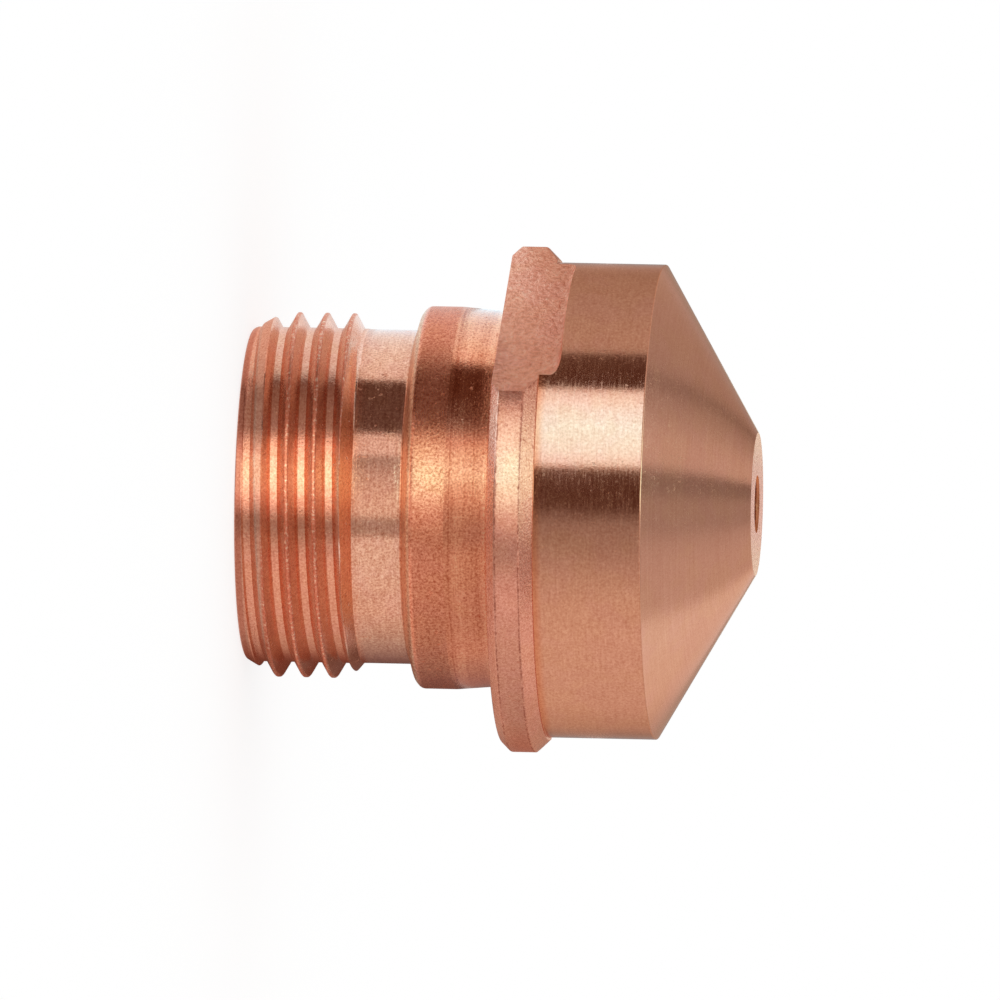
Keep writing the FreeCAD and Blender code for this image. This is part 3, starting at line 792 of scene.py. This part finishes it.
# Tints: the most red that a panel has, how much bluer bright ones are, and what its colour is multiplied by
NO_CAST = (1.0, 1.0, 1.0)
SKY_TINT = (0.97, 0.35, NO_CAST)
WALL_TINT = (1.2, 0.45, NO_CAST)
WARM_TINT = (1.4, -0.1, (1.37, 1.0, 0.86))
HIGH_TINT = (1.6, 0.0, (1.1, 1.0, 0.88))
RELIEF_TINT = (1.2, 0.3, NO_CAST)
COLLAR_TINT = (1.25, 0.0, NO_CAST)
NECK_TINT = (1.2, 0.1, NO_CAST)
LAND_TINT = (1.2, 0.0, NO_CAST)

# Places past SKY_FROM get their cloth's second tint. Below LOW_FROM the fences' panels grow redder. Behind
# the nozzle, past FADE_FROM, all of them fade to one glow, so that no edge shows where their ends meet.
FARTHEST_PLACE = 112
SKY_FROM = 43
LOW_FROM = -62
LOW_FADE = 16
LOW_LESS_GREEN = 0.32
LOW_LESS_BLUE = 0.4
FADE_FROM = 150
BACK_GLOW = 0.45

# Each cloth's name, panels, radius of the copper that shows it, lower or inner edge, upper or outer edge, and
# its two tints. The panels of thread_table are right beside the copper, which shows them where they stand.
places = [step / 2 for step in range(-2 * FARTHEST_PLACE, 2 * FARTHEST_PLACE + 1)]
for name, panels, copper_radius, near, far, tint, top_tint in (
    ("tent_wall", WALL_PANELS, BODY, WALL_FOOT, WALL_MIDDLE, WALL_TINT, WALL_TINT),
    ("tent_wall_top", HIGH_PANELS, BODY, WALL_MIDDLE, WALL_TOP, HIGH_TINT, HIGH_TINT),
    ("tent_table", WALL_PANELS, BODY, TABLE_INNER, TABLE_RIM, WALL_TINT, WALL_TINT),
    ("thread_table", LEAD_IN_PANELS, FENCE_RADIUS, TABLE_START, TABLE_INNER, WARM_TINT, WARM_TINT),
    ("thread_fence", THREAD_PANELS, ROOT, TABLE_INNER, THREAD_TOP, WARM_TINT, SKY_TINT),
    ("relief_fence", RELIEF_PANELS, RELIEF, THREAD_TOP, RELIEF_TOP, RELIEF_TINT, SKY_TINT),
    ("collar_fence", COLLAR_PANELS, COLLAR, RELIEF_TOP, COLLAR_TOP, COLLAR_TINT, SKY_TINT),
    ("neck_fence", NECK_PANELS, NECK_MIDDLE, NECK_FOOT, NECK_TOP, NECK_TINT, SKY_TINT),
    ("land_fence", LAND_PANELS, FLANGE, NECK_TOP, LAND_TOP, LAND_TINT, LAND_TINT),
):
    points, colours = [], []
    for place in places:
        shown = 2 * place - math.degrees(math.asin(copper_radius / far[0] * math.sin(math.radians(place))))
        if abs(shown) > 180:
            continue
        heading = math.radians(CAMERA_BEARING - shown)
        points += [(r * math.cos(heading), r * math.sin(heading), z) for r, z in (near, far)]
        most_red, bluer, shares = top_tint if place > SKY_FROM else tint
        brightness = brightness_at(panels, place)
        low = 0.0
        if far[0] < WALL_RADIUS:
            brightness += (BACK_GLOW - brightness) * max(0, abs(shown) - FADE_FROM) / (180 - FADE_FROM)
            low = min(1.0, max(0.0, (LOW_FROM - place) / LOW_FADE))
        red, green, blue = cloth_colour(brightness, most_red, bluer)
        green, blue = green * (1 - LOW_LESS_GREEN * low), blue * (1 - LOW_LESS_BLUE * low)
        colours += [(red * shares[0], green * shares[1], blue * shares[2])] * 2
    faces = [(k, k + 1, k + 3, k + 2) for k in range(0, len(points) - 2, 2)]
    hang_cloth(name, points, faces, colours)

# The roofs: one behind the nozzle and one in front, which meet in a line that curves away to both sides.
# Each has its name, panels, outer edge, and how much bluer its bright panels are.
ROOF_HEIGHT = 44.0
ROOF_BACK = -110.0
ROOF_FRONT = 600.0
ROOF_STEP = 2.0
ROOF_STEPS = 26
ROOF_MOST_RED = 1.2
MEETING_PLACE = 8
MEETING_CURVE = 25
level_toward = TOWARDS_CAMERA.normalized()
for name, panels, edge, bluer in (
    ("roof_behind", ROOF_PANELS, ROOF_BACK, 0.3),
    ("roof_in_front", FRONT_PANELS, ROOF_FRONT, 0.0),
):
    edges = {across for across, _ in panels}
    edges |= {step * ROOF_STEP for step in range(-ROOF_STEPS, ROOF_STEPS + 1)}
    points, colours = [], []
    for across in sorted(edges):
        for side in (edge, max(MEETING_PLACE - across * across / MEETING_CURVE, ROOF_BACK)):
            spot = picture_up * across + level_toward * side
            points.append((spot.x, spot.y, ROOF_HEIGHT))
            colours.append(cloth_colour(brightness_at(panels, across), ROOF_MOST_RED, bluer))
    faces = [(2 * k, 2 * k + 1, 2 * k + 3, 2 * k + 2) for k in range(len(edges) - 1)]
    hang_cloth(name, points, faces, colours)

# The room, white to the camera and in the copper, and a little dimmer as the light that falls on everything

ROOM_LIGHT = 0.6
world = bpy.data.worlds.new("studio")
bpy.context.scene.world = world
world.use_nodes = True
world.node_tree.nodes["Background"].inputs["Color"].default_value = (1, 1, 1, 1)
sky_rays = add_node(world.node_tree, "ShaderNodeLightPath").outputs
sky_seen = reckon(world.node_tree, "MAXIMUM", sky_rays["Is Camera Ray"], sky_rays["Is Glossy Ray"])
sky_glow = reckon(world.node_tree, "MULTIPLY_ADD", sky_seen, 1 - ROOM_LIGHT, ROOM_LIGHT)
world.node_tree.links.new(sky_glow, world.node_tree.nodes["Background"].inputs["Strength"])

bpy.context.scene.view_settings.view_transform = "Standard"
